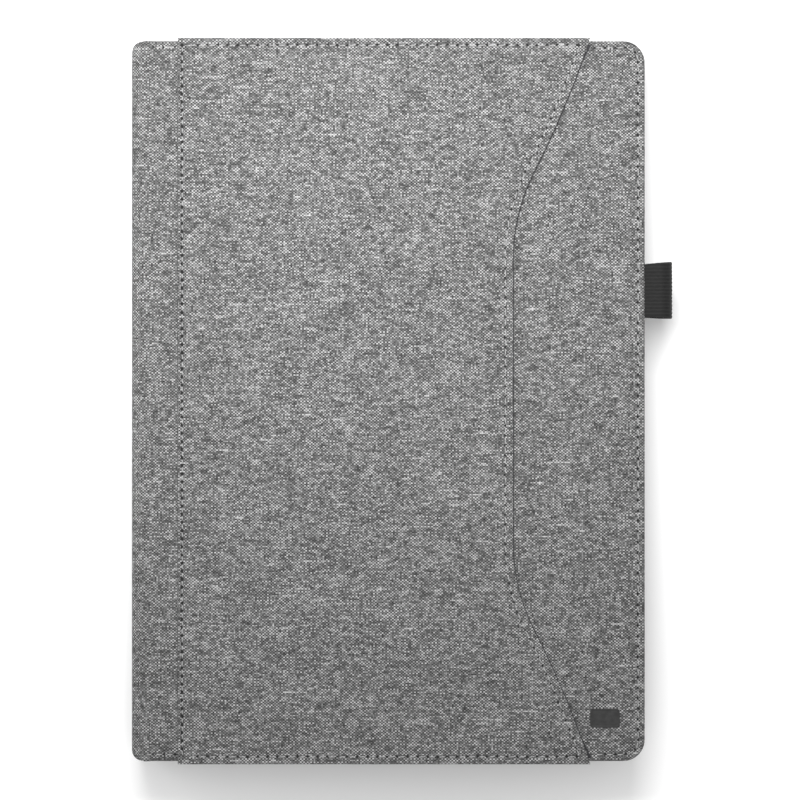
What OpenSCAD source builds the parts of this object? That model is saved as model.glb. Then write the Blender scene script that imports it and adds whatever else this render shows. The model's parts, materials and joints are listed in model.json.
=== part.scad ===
// Folio keyboard case for a 10 to 11 inch tablet.
// The closed case lies on its back cover: +X points to the opening edge, +Y along the
// spine, +Z up through the front cover. The origin is the middle of the underside.

/* [Covers] */
// Width of the closed case, from the spine to the opening edge
case_w = 191; // [188:1:196]
// Length of the covers along the spine
case_len = 268; // [264:1:274]
// Radius of the corners at the opening edge
corner_r = 8; // [5:0.5:12]
// Thickness of the woven outer skins
skin_t = 0.7; // [0.5:0.1:0.9]
// Thickness of the stiffening boards
board_t = 1.6; // [1.4:0.1:1.8]
// Width of the turned and sewn hem around each cover
hem_w = 3.7; // [3:0.1:5]
// Height of the closed case without its pocket
case_h = 26.8; // [26.8:0.1:27.2]

/* [Front pocket] */
// Thickness of the pocket's panel with its hems
panel_t = 1; // [0.8:0.1:1.2]
// How far the panel wraps past each end of the cover
panel_wrap = 1; // [0.5:0.1:1.5]
// Distance from the spine to the pocket's sewn side
panel_left = 17.3; // [14:0.1:24]
// Distance from the spine to the straight part of the mouth
mouth_from_spine = 141.9; // [130:0.1:146]
// Half the length of the mouth's straight part
mouth_half = 53; // [40:1:56]
// Radius of the curve where the mouth starts to open
mouth_r = 70; // [60:1:80]
// Height of the flat space inside the pocket
pocket_gap = 0.4; // [0.3:0.1:0.5]

/* [Pen loop] */
// Width of the elastic band
loop_w = 20; // [15:1:25]
// Outer radius of the loop
loop_r = 4.3; // [4.1:0.1:4.4]
// Thickness of the elastic
loop_t = 0.9; // [0.7:0.1:1]
// How far the loop stands out from the edge
loop_out = 10.4; // [10:0.1:12]
// Distance of the loop from the middle of the edge
loop_y = 41; // [-60:1:60]

/* [Tablet holder] */
// Thickness of the moulded tablet plate
plate_t = 2.6; // [2.6:0.1:2.8]
// Length of the plate along the spine
plate_len = 236; // [200:1:240]
// Free height between the grip pads and the hook lips
bay_h = 7.8; // [7:0.1:7.8]
// Travel of the sprung clamp
clamp_travel = 18; // [10:1:18]

/* [Stand] */
// Length of the stand leg between its two hinge lines
leg_len = 76; // [60:1:76]
// Width of the stand leg
leg_w = 120; // [80:1:160]

/* [Keyboard] */
// Distance between neighbouring keys
key_pitch = 16.93; // [16.6:0.01:17]
// Gap between neighbouring keycaps
key_gap = 2.03; // [1.8:0.01:2.2]
// Height of the keycaps in the function row
function_key_h = 8.5; // [7:0.1:9]
// Size of the keyboard across the spine
kbd_w = 136; // [134:1:136]
// Size of the keyboard along the spine
kbd_len = 244; // [242:1:250]

/* [Hidden] */
$fn = 48;
clear = 0.3;

// Ends of the covers
edge_x = case_w / 2;
spine_x = -edge_x;
end_y = case_len / 2;

// Hinge lines of the spine, set so that the opened case lies flat on its outside
hinge_inset = 3.5;
hinge_x = spine_x + hinge_inset;
hinge_low_z = hinge_inset;
hinge_high_z = case_h + panel_t - hinge_inset;
lining_x = hinge_x + 2;

// Plain label near a corner of the front cover
mark_size = [11, 7];
mark_r = 1.2;
mark_t = 0.15;
mark_at = [80.6, -117.9];

// Layers of the covers, from the outside in
lining_t = 0.7;
lining_inset = 1;
cover_t = skin_t + board_t + lining_t;
back_top = cover_t;
front_low = case_h - cover_t;
front_board_z = front_low + lining_t;
front_skin_z = case_h - skin_t;
spine_hem_z = 5.5;
hinge_fabric_r = 3.2;

// Stand leg and tablet plate
leg_t = 1.6;
leg_z = back_top + clear;
stand_z = leg_z + leg_t + 0.15;
plate_hinge_x = hinge_x + 12;
leg_hinge_x = plate_hinge_x + leg_len;
leg_start = leg_hinge_x + 2.2;
leg_end = leg_hinge_x + leg_len + 0.6;
plate_z = stand_z + 0.15;
plate_x0 = plate_hinge_x + 0.5;
plate_x1 = 73.5;
plate_top = plate_z + plate_t;
plate_lining_t = 0.6;
grip_z = plate_top + plate_lining_t;
grip_t = 0.6;
lip_z = grip_z + grip_t + bay_h;
lip_t = 1.2;
lip_reach = 2.5;
hook_t = 2.5;
lower_hook_x = plate_x0 + 0.5;
upper_hook_x = plate_x1 + 0.5;
lower_hook_w = 30;
lower_hook_y = 70;
upper_hook_w = 24;
upper_hook_y = 45;
hook_bar_len = 114;
slider_t = 1.5;
slider_w = 100;
slider_x0 = 42;
slider_z = plate_z + 0.8;
recess_x0 = 22;
grip_size = [8, 200];
grip_xs = [-66, 58];
leg_r = 3;
spring_y = 30;
spring_r = 0.6;
spring_wire_r = 0.15;
spring_turns = 12;

// Magnets that hold the leg's foot at two tilts
magnet_t = 1.2;
magnet_w = 4;
magnet_len = 16;
magnet_y = 40;
stand_tilts = [55, 65];

// Layers of the keyboard, which hangs face down under the front cover
pad_t = 0.3;
kbd_back_z = front_low - pad_t;
tray_t = 0.8;
wall_t = 1.5;
kbd_h = 4.8;
frame_t = 1.5;
frame_z = kbd_back_z - kbd_h;
frame_back_z = frame_z + frame_t;
tray_in_z = kbd_back_z - tray_t;
steel_t = 0.4;
film_t = 0.3;
dome_h = 1.2;
kbd_x0 = -66;
kbd_x1 = kbd_x0 + kbd_w;
kbd_r = 6;

// Keycaps
cap_h = 2.8;
cap_out = 1.4;
cap_z = frame_z - cap_out;
cap_skin = 1.2;
cap_wall = 1;
cap_r = 1.6;
window_gap = 0.5;
keys_x1 = kbd_x1 - 8.5;
keys_y1 = 7 * key_pitch;
function_pitch = function_key_h + key_gap;

// Key widths in each row, in units of the pitch, from the Esc side across
function_row = [for (i = [1:14]) 1];
number_row = concat([for (i = [1:12]) 1], [2]);
top_row = concat([1.25], [for (i = [1:12]) 1], [0.75]);
home_row = concat([1.5], [for (i = [1:11]) 1], [1.5]);
bottom_row = concat([2], [for (i = [1:10]) 1], [1, 1]);
space_row = [1.25, 1, 1.25, 1, 4.5, 1, 1, 1, 1, 1];
rows = [space_row, bottom_row, home_row, top_row, number_row, function_row];

// Half the length of the key field along the spine
field_half = 119.5;

// Controls on the strip between the keys and the spine
strip_x = -50;
circuit_t = 0.8;
board_y0 = 4;
board_y1 = 62;
chip_h = 0.8;
socket_y = 40;
socket_w = 7.8;
switch_y = 27;
switch_size = [3.4, 4];
switch_out = 0.7;
switch_travel = 2.5;
button_y = 12;
button_out = 0.5;
button_gap = 0.8;
light_ys = [48, 52, 56];
battery_size = [20, 56];
battery_t = 2.1;
battery_y = -34;
pad_size = [10, 90];

// Screws that close the keyboard
screw_r = 0.7;
head_r = 1.6;
head_t = 0.4;
boss_r = 2.2;
screw_spots = [for (y = [-112, 0, 112]) for (x = [-58, kbd_x1 - 4.2]) [x, y]];

linen = "#84868a";
lining_black = "#2b2b2d";
board_grey = "#8a8276";
moulded_black = "#262729";
silicone_black = "#1c1c1e";
steel = "#b4b8bc";

// ---------- shared shapes ----------

// A block between two corners
module block(low, high) {
    translate(low) cube(high - low);
}

// A rectangle with four rounded corners, centred on [x, y]
module soft_rect(size, r, at = [0, 0]) {
    steps = 4;
    arc = [for (q = [0:3]) for (s = [0:steps]) [q, q * 90 + s * 90 / steps]];
    sign_x = [1, -1, -1, 1];
    sign_y = [1, 1, -1, -1];
    polygon([
        for (a = arc) [
            at.x + sign_x[a[0]] * (size.x / 2 - r) + r * cos(a[1]),
            at.y + sign_y[a[0]] * (size.y / 2 - r) + r * sin(a[1])
        ]
    ]);
}

// The outline of a cover: square at the spine, rounded at the opening edge
module cover_outline(x0, inset) {
    r = corner_r - inset;
    x1 = edge_x - inset;
    y1 = end_y - inset;
    translate([x0, -y1]) square([x1 - r - x0, 2 * y1]);
    translate([x0, r - y1]) square([x1 - x0, 2 * (y1 - r)]);
    for (s = [-1, 1]) translate([x1 - r, s * (y1 - r)]) circle(r = r);
}

// A quarter of a round strip along the spine; from is the angle where it starts
module quarter_strip(x, z, r, t, from) {
    translate([x, end_y, z])
        rotate([90, 0, 0])
            linear_extrude(2 * end_y)
                rotate(from)
                    intersection() {
                        difference() {
                            circle(r = r);
                            circle(r = r - t);
                        }
                        square(r);
                    }
}

// An upright cylinder from a height
module post(x, y, z, r, h) {
    translate([x, y, z]) cylinder(r = r, h = h);
}

// ---------- back cover ----------

// Woven skin of a cover with its turned hem; the skin lies at z = 0
module cover_skin() {
    difference() {
        linear_extrude(skin_t + board_t) cover_outline(hinge_x, 0);
        translate([0, 0, skin_t])
            linear_extrude(board_t + 1) cover_outline(hinge_x - 1, hem_w);
    }
}

module back_outer_fabric() {
    color(linen) cover_skin();
}

function foot_x(tilt) = plate_hinge_x + 2 * leg_len * cos(tilt);

module magnet_bars(xs, z, h = magnet_t) {
    for (x = xs)
        for (y = [-magnet_y, magnet_y])
            block(
                [x - magnet_w / 2, y - magnet_len / 2, z],
                [x + magnet_w / 2, y + magnet_len / 2, z + h]
            );
}

stand_magnet_z = skin_t + board_t - magnet_t;

module back_board() {
    color(board_grey) difference() {
        translate([0, 0, skin_t]) linear_extrude(board_t) cover_outline(lining_x, hem_w);
        magnet_bars([for (t = stand_tilts) foot_x(t)], stand_magnet_z);
    }
}

module back_lining() {
    color(lining_black)
        translate([0, 0, back_top - lining_t])
            linear_extrude(lining_t) cover_outline(lining_x, lining_inset);
}

module stand_magnets() {
    color(steel) magnet_bars([for (t = stand_tilts) foot_x(t)], stand_magnet_z);
}

// Fabric tape that hinges the tablet plate to the lining
module plate_hinge_tape() {
    tape_t = 0.25;
    y = plate_len / 2 - 6;
    top = plate_z - 0.1;
    color(lining_black) {
        block([plate_hinge_x - 8, -y, back_top], [plate_hinge_x + tape_t, y, back_top + tape_t]);
        block([plate_hinge_x, -y, back_top], [plate_hinge_x + tape_t, y, top]);
        block([plate_hinge_x, -y, top - tape_t], [plate_hinge_x + 10, y, top]);
    }
}

module hinge_fabric_back() {
    color(linen) quarter_strip(hinge_x, hinge_low_z, hinge_inset, skin_t, 180);
}

module hinge_lining_back() {
    color(lining_black) quarter_strip(lining_x, spine_hem_z, hinge_fabric_r, lining_t, 180);
}

// ---------- spine ----------

spine_low = hinge_low_z + clear;
spine_high = hinge_high_z - clear;
spine_board_x = spine_x + skin_t;
spine_lining_x = spine_board_x + board_t;
spine_board_high = front_board_z - hinge_fabric_r;

module spine_outer_fabric() {
    color(linen) {
        block([spine_x, -end_y, spine_low], [spine_board_x, end_y, spine_high]);
        for (s = [-1, 1])
            block(
                [spine_board_x, s > 0 ? end_y - hem_w : -end_y, spine_low],
                [spine_lining_x, s > 0 ? end_y : hem_w - end_y, spine_high]
            );
    }
}

module spine_board() {
    y = end_y - hem_w;
    color(board_grey)
        block([spine_board_x, -y, spine_hem_z], [spine_lining_x, y, spine_board_high]);
}

module spine_lining() {
    y = end_y - lining_inset;
    color(lining_black)
        block(
            [spine_lining_x, -y, spine_hem_z],
            [spine_lining_x + lining_t, y, spine_board_high]
        );
}

module hinge_fabric_front() {
    r = case_h - hinge_high_z;
    color(linen) {
        quarter_strip(spine_x + r, hinge_high_z, r, skin_t, 90);
        block([spine_x + r, -end_y, front_skin_z], [hinge_x - clear, end_y, case_h]);
    }
}

module hinge_lining_front() {
    color(lining_black) quarter_strip(lining_x, spine_board_high, hinge_fabric_r, lining_t, 90);
}

// ---------- front cover ----------

module front_outer_fabric() {
    color(linen) difference() {
        translate([0, 0, case_h]) mirror([0, 0, 1]) cover_skin();
        block(
            [edge_x - hem_w - 1, loop_y - loop_w / 2, front_board_z - 1],
            [edge_x + 1, loop_y + loop_w / 2, front_skin_z]
        );
    }
}

module front_board() {
    color(board_grey)
        translate([0, 0, front_board_z]) linear_extrude(board_t) cover_outline(lining_x, hem_w);
}

module front_lining() {
    color(lining_black)
        translate([0, 0, front_low]) linear_extrude(lining_t) cover_outline(lining_x, lining_inset);
}

// The mouth is straight in the middle, then bends by mouth_turn and eases back
mouth_x = spine_x + mouth_from_spine;
mouth_turn = 27;
ease_turn = 8;
ease_r = 370;
panel_y = end_y + panel_wrap;
bend_end = [mouth_x + mouth_r * (1 - cos(mouth_turn)), mouth_half + mouth_r * sin(mouth_turn)];
bend_points = [
    for (a = [0:3:mouth_turn])
        [mouth_x + mouth_r * (1 - cos(a)), mouth_half + mouth_r * sin(a)]
];
ease_points = [
    for (a = [1:ease_turn])
        bend_end + ease_r * [
            cos(mouth_turn - a) - cos(mouth_turn),
            sin(mouth_turn) - sin(mouth_turn - a)
        ]
];
// The mouth's upper half, cut off straight at the end of the panel
mouth_half_line = concat(bend_points, [for (p = ease_points) if (p.y < panel_y) p]);
mouth_last = mouth_half_line[len(mouth_half_line) - 1];
end_slope = tan(mouth_turn - ease_turn);
mouth_end = [mouth_last.x + (panel_y - mouth_last.y) * end_slope, panel_y];
mouth_upper = concat(mouth_half_line, [mouth_end]);

module mouth_outline(x0) {
    count = len(mouth_upper);
    polygon(concat(
        [[x0, panel_y], [x0, -panel_y]],
        [for (i = [1:count]) [mouth_upper[count - i].x, -mouth_upper[count - i].y]],
        mouth_upper
    ));
}

module pocket_panel() {
    seam_w = 5;
    x0 = spine_x + panel_left;
    color(linen) {
        difference() {
            translate([0, 0, case_h]) linear_extrude(panel_t) mouth_outline(x0);
            block(
                [x0 + seam_w, seam_w - end_y, case_h - 1],
                [edge_x, end_y - seam_w, case_h + pocket_gap]
            );
        }
        // Ends turned down over the cover's edges
        for (s = [-1, 1])
            translate([0, s * (end_y + panel_wrap / 2), case_h - cover_t + lining_t])
                linear_extrude(cover_t - lining_t)
                    translate([x0, -panel_wrap / 2])
                        square([mouth_end.x - x0, panel_wrap]);
    }
}

module front_mark() {
    color("#4a4b4e")
        translate([0, 0, case_h]) linear_extrude(mark_t) soft_rect(mark_size, mark_r, mark_at);
}

// Elastic band folded into a loop, with both ends sewn under the cover's hem
module pen_loop() {
    hole_r = loop_r - loop_t;
    centre = [edge_x + loop_out - loop_r, case_h + panel_t - loop_r - 0.2];
    root_z = front_skin_z - board_t / 2;
    color(lining_black)
        translate([0, loop_y + loop_w / 2, 0])
            rotate([90, 0, 0])
                linear_extrude(loop_w) {
                    translate([edge_x - hem_w, front_board_z]) square([hem_w, board_t]);
                    difference() {
                        union() {
                            translate(centre) circle(r = loop_r);
                            polygon([
                                [edge_x, front_skin_z],
                                [edge_x, front_board_z],
                                [centre.x, centre.y - loop_r],
                                [centre.x, centre.y + loop_r]
                            ]);
                        }
                        translate(centre) circle(r = hole_r);
                        polygon([
                            [edge_x + 1.4, root_z],
                            [centre.x, centre.y - hole_r],
                            [centre.x, centre.y + hole_r]
                        ]);
                    }
                }
}

// ---------- keyboard under the front cover ----------

module adhesive_pads() {
    color("#d8d4c8")
        for (x = [kbd_x0 + 8, kbd_x1 - 8 - pad_size.x])
            for (y = [-110, 20])
                block([x, y, kbd_back_z], [x + pad_size.x, y + pad_size.y, front_low]);
}

kbd_mid = [(kbd_x0 + kbd_x1) / 2, 0];

module screw_holes(z, r, h) {
    for (p = screw_spots) post(p.x, p.y, z, r, h);
}

module keyboard_tray() {
    color(moulded_black) difference() {
        translate([0, 0, frame_back_z])
            linear_extrude(kbd_back_z - frame_back_z) soft_rect([kbd_w, kbd_len], kbd_r, kbd_mid);
        translate([0, 0, frame_back_z - 1])
            linear_extrude(tray_in_z - frame_back_z + 1)
                soft_rect([kbd_w - 2 * wall_t, kbd_len - 2 * wall_t], kbd_r - wall_t, kbd_mid);
        screw_holes(frame_back_z, screw_r + 0.1, kbd_h);
        screw_holes(kbd_back_z - head_t, head_r + 0.2, 1);
        block(
            [kbd_x0 - 1, socket_y - socket_w / 2, frame_back_z],
            [kbd_x0 + wall_t + 1, socket_y + socket_w / 2, tray_in_z]
        );
    }
}

function total(list, upto) = upto == 0 ? 0 : list[upto - 1] + total(list, upto - 1);
function row_depth(row) = row == 5 ? function_key_h : key_pitch - key_gap;
function row_x(row) =
    row == 5
        ? keys_x1 - 5 * key_pitch + key_gap / 2 - key_gap - function_key_h / 2
        : keys_x1 - (row + 0.5) * key_pitch;
function key_y(row, i) = keys_y1 - key_pitch * (total(rows[row], i) + rows[row][i] / 2);
function key_len(row, i) = rows[row][i] * key_pitch - key_gap;

module keyboard_frame() {
    color(moulded_black) difference() {
        union() {
            translate([0, 0, frame_z])
                linear_extrude(frame_t)
                    difference() {
                        soft_rect([kbd_w, kbd_len], kbd_r, kbd_mid);
                        for (row = [0:5])
                            for (i = [0:len(rows[row]) - 1])
                                soft_rect(
                                    [row_depth(row), key_len(row, i)] + [1, 1] * 2 * window_gap,
                                    cap_r + window_gap,
                                    [row_x(row), key_y(row, i)]
                                );
                        translate([strip_x, switch_y] - switch_size / 2 - [clear, clear])
                            square(switch_size + [2 * clear, switch_travel + 2 * clear]);
                        translate([strip_x, button_y]) circle(r = 2.3);
                        for (y = light_ys) translate([strip_x, y]) circle(r = 0.9);
                    }
            screw_holes(frame_back_z, boss_r, tray_in_z - frame_back_z);
        }
        screw_holes(frame_back_z + 0.6, screw_r + 0.05, kbd_h);
    }
}

// A flat sheet under the whole key field
module key_field_sheet(z, t) {
    block([row_x(5) - 6, -field_half, z], [keys_x1 + 0.5, field_half, z + t]);
}

module support_plate() {
    color(steel) key_field_sheet(tray_in_z - steel_t, steel_t);
}

module membrane_circuit() {
    color("#9fb0a4") key_field_sheet(tray_in_z - steel_t - film_t, film_t);
}

module dome_sheet() {
    dome_z = tray_in_z - steel_t - 2 * film_t;
    color("#c9c6bd") {
        key_field_sheet(dome_z, film_t);
        for (row = [0:5])
            for (i = [0:len(rows[row]) - 1])
                post(row_x(row), key_y(row, i), dome_z - dome_h, 2.5, dome_h);
    }
}

board_z = tray_in_z - circuit_t;

// Parts on the board: two corners, across from the strip's middle, and a height
chips = concat(
    [
        [[3, 30], [10, 37], chip_h],
        [[-3, switch_y - 3], [3, switch_y + 6], 0.5],
        [[-2, button_y - 2], [2, button_y + 2], 0.2]
    ],
    [for (y = light_ys) [[-0.8, y - 0.6], [0.8, y + 0.6], chip_h]]
);

module controller_board() {
    x0 = strip_x - 12;
    x1 = strip_x + 12;
    color("#2f5d43") difference() {
        block([x0, board_y0, board_z], [x1, board_y1, tray_in_z]);
        block([x0 - 1, socket_y - 4, board_z - 1], [x0 + 4, socket_y + 4, tray_in_z + 1]);
    }
    color(moulded_black)
        for (c = chips)
            block([strip_x + c[0].x, c[0].y, board_z - c[2]], [strip_x + c[1].x, c[1].y, board_z]);
}

module battery() {
    color("#a7adb5")
        translate([0, 0, tray_in_z - battery_t])
            linear_extrude(battery_t) soft_rect(battery_size, 1.5, [strip_x, battery_y]);
}

module charge_socket() {
    depth = 6.2;
    low = [kbd_x0 + 0.2, socket_y - socket_w / 2 + 0.1, frame_back_z + 0.05];
    high = [kbd_x0 + depth, socket_y + socket_w / 2 - 0.1, tray_in_z - 0.05];
    shell = [0.3, 0.3, 0.3];
    color(steel) difference() {
        block(low, high);
        block(low + [-1, shell.y, shell.z], high - shell);
    }
    color(moulded_black)
        block(
            [low.x + 1.5, socket_y - 2.6, low.z + 1],
            [high.x - shell.x, socket_y + 2.6, low.z + 1.5]
        );
}

module status_lights() {
    color("#dfe6ea")
        for (y = light_ys) post(strip_x, y, frame_z, 0.85, board_z - chip_h - frame_z);
}

module case_screws() {
    color(steel) for (p = screw_spots) {
        post(p.x, p.y, frame_back_z + 0.9, screw_r, kbd_back_z - head_t - frame_back_z - 0.9);
        difference() {
            post(p.x, p.y, kbd_back_z - head_t, head_r, head_t);
            block(
                [p.x - 1, p.y - 0.15, kbd_back_z - 0.2],
                [p.x + 1, p.y + 0.15, kbd_back_z + 1]
            );
        }
    }
}

module power_switch() {
    half = switch_size / 2;
    color(silicone_black)
        block(
            [strip_x - half.x, switch_y - half.y, frame_z - switch_out],
            [strip_x + half.x, switch_y + half.y, frame_back_z + clear]
        );
}

module connect_button() {
    color(silicone_black) {
        stem = board_z - button_gap - frame_z;
        post(strip_x, button_y, frame_z - button_out, 2, stem + button_out);
        post(strip_x, button_y, frame_back_z + clear, 2.6, stem - frame_t - clear);
    }
}

// ---------- keycaps ----------

// One hollow keycap with the plunger that presses its dome
module keycap(row, i) {
    size = [row_depth(row), key_len(row, i)];
    at = [row_x(row), key_y(row, i)];
    dome_top = tray_in_z - steel_t - 2 * film_t - dome_h;
    difference() {
        translate([0, 0, cap_z]) linear_extrude(cap_h) soft_rect(size, cap_r, at);
        translate([0, 0, cap_z + cap_skin])
            linear_extrude(cap_h)
                soft_rect(size - [1, 1] * 2 * cap_wall, cap_r - cap_wall, at);
    }
    post(at.x, at.y, cap_z + cap_skin, 1.5, dome_top - clear - cap_z - cap_skin);
}

module keycaps(row, places) {
    color(moulded_black) for (i = places) keycap(row, i);
}

module space_bar() { keycaps(0, [4]); }
module enter_key() { keycaps(2, [12]); }
module backspace_key() { keycaps(4, [12]); }
module tab_key() { keycaps(3, [0]); }
module caps_key() { keycaps(2, [0]); }
module left_shift_key() { keycaps(1, [0]); }
module right_shift_key() { keycaps(1, [12]); }
module escape_key() { keycaps(5, [0]); }
module arrow_up_key() { keycaps(1, [11]); }
module arrow_left_key() { keycaps(0, [7]); }
module arrow_down_key() { keycaps(0, [8]); }
module arrow_right_key() { keycaps(0, [9]); }
module function_keys() { keycaps(5, [1:13]); }
module number_keys() { keycaps(4, [0:11]); }
module top_row_keys() { keycaps(3, [1:13]); }
module home_row_keys() { keycaps(2, [1:11]); }
module bottom_row_keys() { keycaps(1, [1:10]); }
module modifier_keys() { keycaps(0, [0, 1, 2, 3, 5, 6]); }

// ---------- tablet holder and stand ----------

plate_y = plate_len / 2;
recess_y = slider_w / 2 + clear;

module tablet_plate() {
    color(moulded_black) {
        difference() {
            block([plate_x0, -plate_y, plate_z], [plate_x1, plate_y, plate_top]);
            block([recess_x0, -recess_y, slider_z - clear], [plate_x1 + 1, recess_y, plate_top + 1]);
        }
        for (s = [-1, 1])
            post(recess_x0 + 1.5, s * spring_y, slider_z - clear, 0.8, slider_t);
    }
}

module plate_lining() {
    color(lining_black) difference() {
        block([plate_x0, -plate_y, plate_top], [plate_x1, plate_y, grip_z]);
        for (s = [-1, 1])
            block(
                [plate_x0 - 1, s * lower_hook_y - lower_hook_w / 2, plate_top - 1],
                [lower_hook_x + hook_t, s * lower_hook_y + lower_hook_w / 2, grip_z + 1]
            );
    }
}

module grip_pads() {
    color(silicone_black)
        for (x = grip_xs)
            translate([0, 0, grip_z]) linear_extrude(grip_t) soft_rect(grip_size, 2, [x, 0]);
}

module lower_hooks() {
    stem_x = lower_hook_x + hook_t;
    color(moulded_black)
        for (s = [-1, 1])
            translate([0, s * lower_hook_y, 0]) {
                w = lower_hook_w / 2;
                block([lower_hook_x, -w, plate_top], [stem_x, w, lip_z + lip_t]);
                block([stem_x, -w, lip_z], [stem_x + lip_reach, w, lip_z + lip_t]);
            }
}

// A close-wound helix of wire along X, as one closed tube
module wire_spring(x0, x1, y, z) {
    per_turn = 10;
    sides = 6;
    rings = spring_turns * per_turn;
    function ring_point(i, k) =
        let (turn = 360 * i / per_turn, side = 360 * k / sides)
        let (r = spring_r + spring_wire_r * cos(side))
        [
            x0 + (x1 - x0) * i / rings + spring_wire_r * sin(side),
            y + r * cos(turn),
            z + r * sin(turn)
        ];
    points = [for (i = [0:rings]) for (k = [0:sides - 1]) ring_point(i, k)];
    walls = [
        for (i = [0:rings - 1])
            for (k = [0:sides - 1])
                let (a = i * sides + k, b = i * sides + (k + 1) % sides)
                [a, b, b + sides, a + sides]
    ];
    caps = [
        [for (k = [0:sides - 1]) sides - 1 - k],
        [for (k = [0:sides - 1]) rings * sides + k]
    ];
    polyhedron(points, concat(walls, caps));
}

module clamp_springs() {
    color(steel)
        for (s = [-1, 1])
            wire_spring(
                recess_x0 + 2.6, slider_x0 - 0.4, s * spring_y, slider_z + slider_t / 2
            );
}

// Fabric tape that hinges the stand leg to the plate
module leg_hinge_tape() {
    y = leg_w / 2 - 4;
    top = plate_z - 0.05;
    color(lining_black)
        block([leg_hinge_x - 8, -y, top - 0.2], [leg_hinge_x + 10, y, top]);
}

module clamp_slider() {
    color(steel)
        block(
            [slider_x0, -slider_w / 2, slider_z],
            [upper_hook_x, slider_w / 2, slider_z + slider_t]
        );
}

module upper_hooks() {
    bar_y = hook_bar_len / 2;
    x1 = upper_hook_x + hook_t;
    color(moulded_black) {
        block([upper_hook_x, -bar_y, plate_z + clear], [x1, bar_y, grip_z]);
        for (s = [-1, 1])
            translate([0, s * upper_hook_y, 0]) {
                w = upper_hook_w / 2;
                block([upper_hook_x, -w, plate_z + clear], [x1, w, lip_z + lip_t]);
                block([upper_hook_x - lip_reach, -w, lip_z], [upper_hook_x, w, lip_z + lip_t]);
            }
    }
}

leg_magnet_x = leg_end - 5;
leg_magnet_z = leg_z + 0.2;

module stand_leg() {
    color(moulded_black) difference() {
        translate([0, 0, leg_z])
            linear_extrude(leg_t)
                soft_rect([leg_end - leg_start, leg_w], leg_r, [(leg_start + leg_end) / 2, 0]);
        magnet_bars([leg_magnet_x], leg_magnet_z, leg_t);
    }
}

module leg_magnets() {
    color(steel) magnet_bars([leg_magnet_x], leg_magnet_z);
}

back_outer_fabric();
back_board();
back_lining();
stand_magnets();
plate_hinge_tape();
hinge_fabric_back();
hinge_lining_back();
spine_outer_fabric();
spine_board();
spine_lining();
hinge_fabric_front();
hinge_lining_front();
front_outer_fabric();
front_board();
front_lining();
pocket_panel();
front_mark();
pen_loop();
adhesive_pads();
keyboard_tray();
keyboard_frame();
support_plate();
membrane_circuit();
dome_sheet();
controller_board();
battery();
charge_socket();
status_lights();
case_screws();
tablet_plate();
plate_lining();
grip_pads();
lower_hooks();
clamp_springs();
leg_hinge_tape();
clamp_slider();
upper_hooks();
stand_leg();
leg_magnets();
power_switch();
connect_button();
space_bar();
enter_key();
backspace_key();
tab_key();
caps_key();
left_shift_key();
right_shift_key();
escape_key();
arrow_up_key();
arrow_left_key();
arrow_down_key();
arrow_right_key();
function_keys();
number_keys();
top_row_keys();
home_row_keys();
bottom_row_keys();
modifier_keys();
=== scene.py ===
"""Folio keyboard case for a tablet: cloth, stitching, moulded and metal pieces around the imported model."""
import json
import math
import random

import bmesh
import bpy
from mathutils import Matrix, Vector


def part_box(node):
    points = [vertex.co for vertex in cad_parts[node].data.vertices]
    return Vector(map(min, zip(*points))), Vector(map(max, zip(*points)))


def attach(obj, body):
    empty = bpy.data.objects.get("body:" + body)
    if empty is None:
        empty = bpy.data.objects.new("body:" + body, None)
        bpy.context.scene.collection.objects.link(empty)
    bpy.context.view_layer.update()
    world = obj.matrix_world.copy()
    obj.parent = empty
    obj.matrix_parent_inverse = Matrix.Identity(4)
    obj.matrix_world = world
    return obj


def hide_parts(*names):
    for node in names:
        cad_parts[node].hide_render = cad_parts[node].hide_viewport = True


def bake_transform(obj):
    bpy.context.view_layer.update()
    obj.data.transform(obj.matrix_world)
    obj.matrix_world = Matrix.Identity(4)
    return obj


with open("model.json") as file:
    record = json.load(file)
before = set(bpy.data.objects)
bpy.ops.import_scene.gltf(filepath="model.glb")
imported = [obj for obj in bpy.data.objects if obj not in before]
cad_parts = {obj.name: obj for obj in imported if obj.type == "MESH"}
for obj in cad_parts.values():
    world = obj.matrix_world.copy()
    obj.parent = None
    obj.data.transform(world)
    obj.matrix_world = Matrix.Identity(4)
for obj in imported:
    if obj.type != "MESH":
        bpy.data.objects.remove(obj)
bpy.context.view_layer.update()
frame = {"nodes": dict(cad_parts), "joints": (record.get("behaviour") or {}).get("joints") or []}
MM = 0.001

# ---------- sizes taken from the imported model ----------

FRONT_LOW, FRONT_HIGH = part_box("front_outer_fabric")
BACK_LOW, BACK_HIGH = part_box("back_outer_fabric")
SPINE_LOW, SPINE_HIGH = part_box("spine_outer_fabric")
SPINE_LINING_LOW, SPINE_LINING_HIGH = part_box("spine_lining")
FRONT_LINING_LOW, FRONT_LINING_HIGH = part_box("front_lining")
BACK_LINING_LOW, BACK_LINING_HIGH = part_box("back_lining")
PANEL_LOW, PANEL_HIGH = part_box("pocket_panel")
JOINTS = {j["name"]: j for j in frame["joints"]}
LOW_HINGE = Vector(JOINTS["spine_hinge"]["pos_m"])
HIGH_HINGE = Vector(JOINTS["cover_hinge"]["pos_m"])
FOLD_X = FRONT_LINING_LOW.x + 1.5 * MM
MID_SPINE = (SPINE_LOW.z + SPINE_HIGH.z) / 2
# Thickness of the outer cloth, and of the elastic
SKIN = 0.7 * MM
ELASTIC_T = 0.9 * MM
# How far seams lie inside the edges of the covers, the pocket and the pocket's side
SEAM_IN = 2.5 * MM
PANEL_SEAM_IN = 2.8 * MM
SIDE_SEAM_IN = 1.7 * MM
# How deep the thread pulls the cloth and the lining down
SEAM_DIP = 0.22 * MM
LINING_DIP = 0.12 * MM
THREAD_R = 0.2 * MM
# Rounding of the spine's two ends
SPINE_END_R = 4.0 * MM


# ---------- materials ----------

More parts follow.
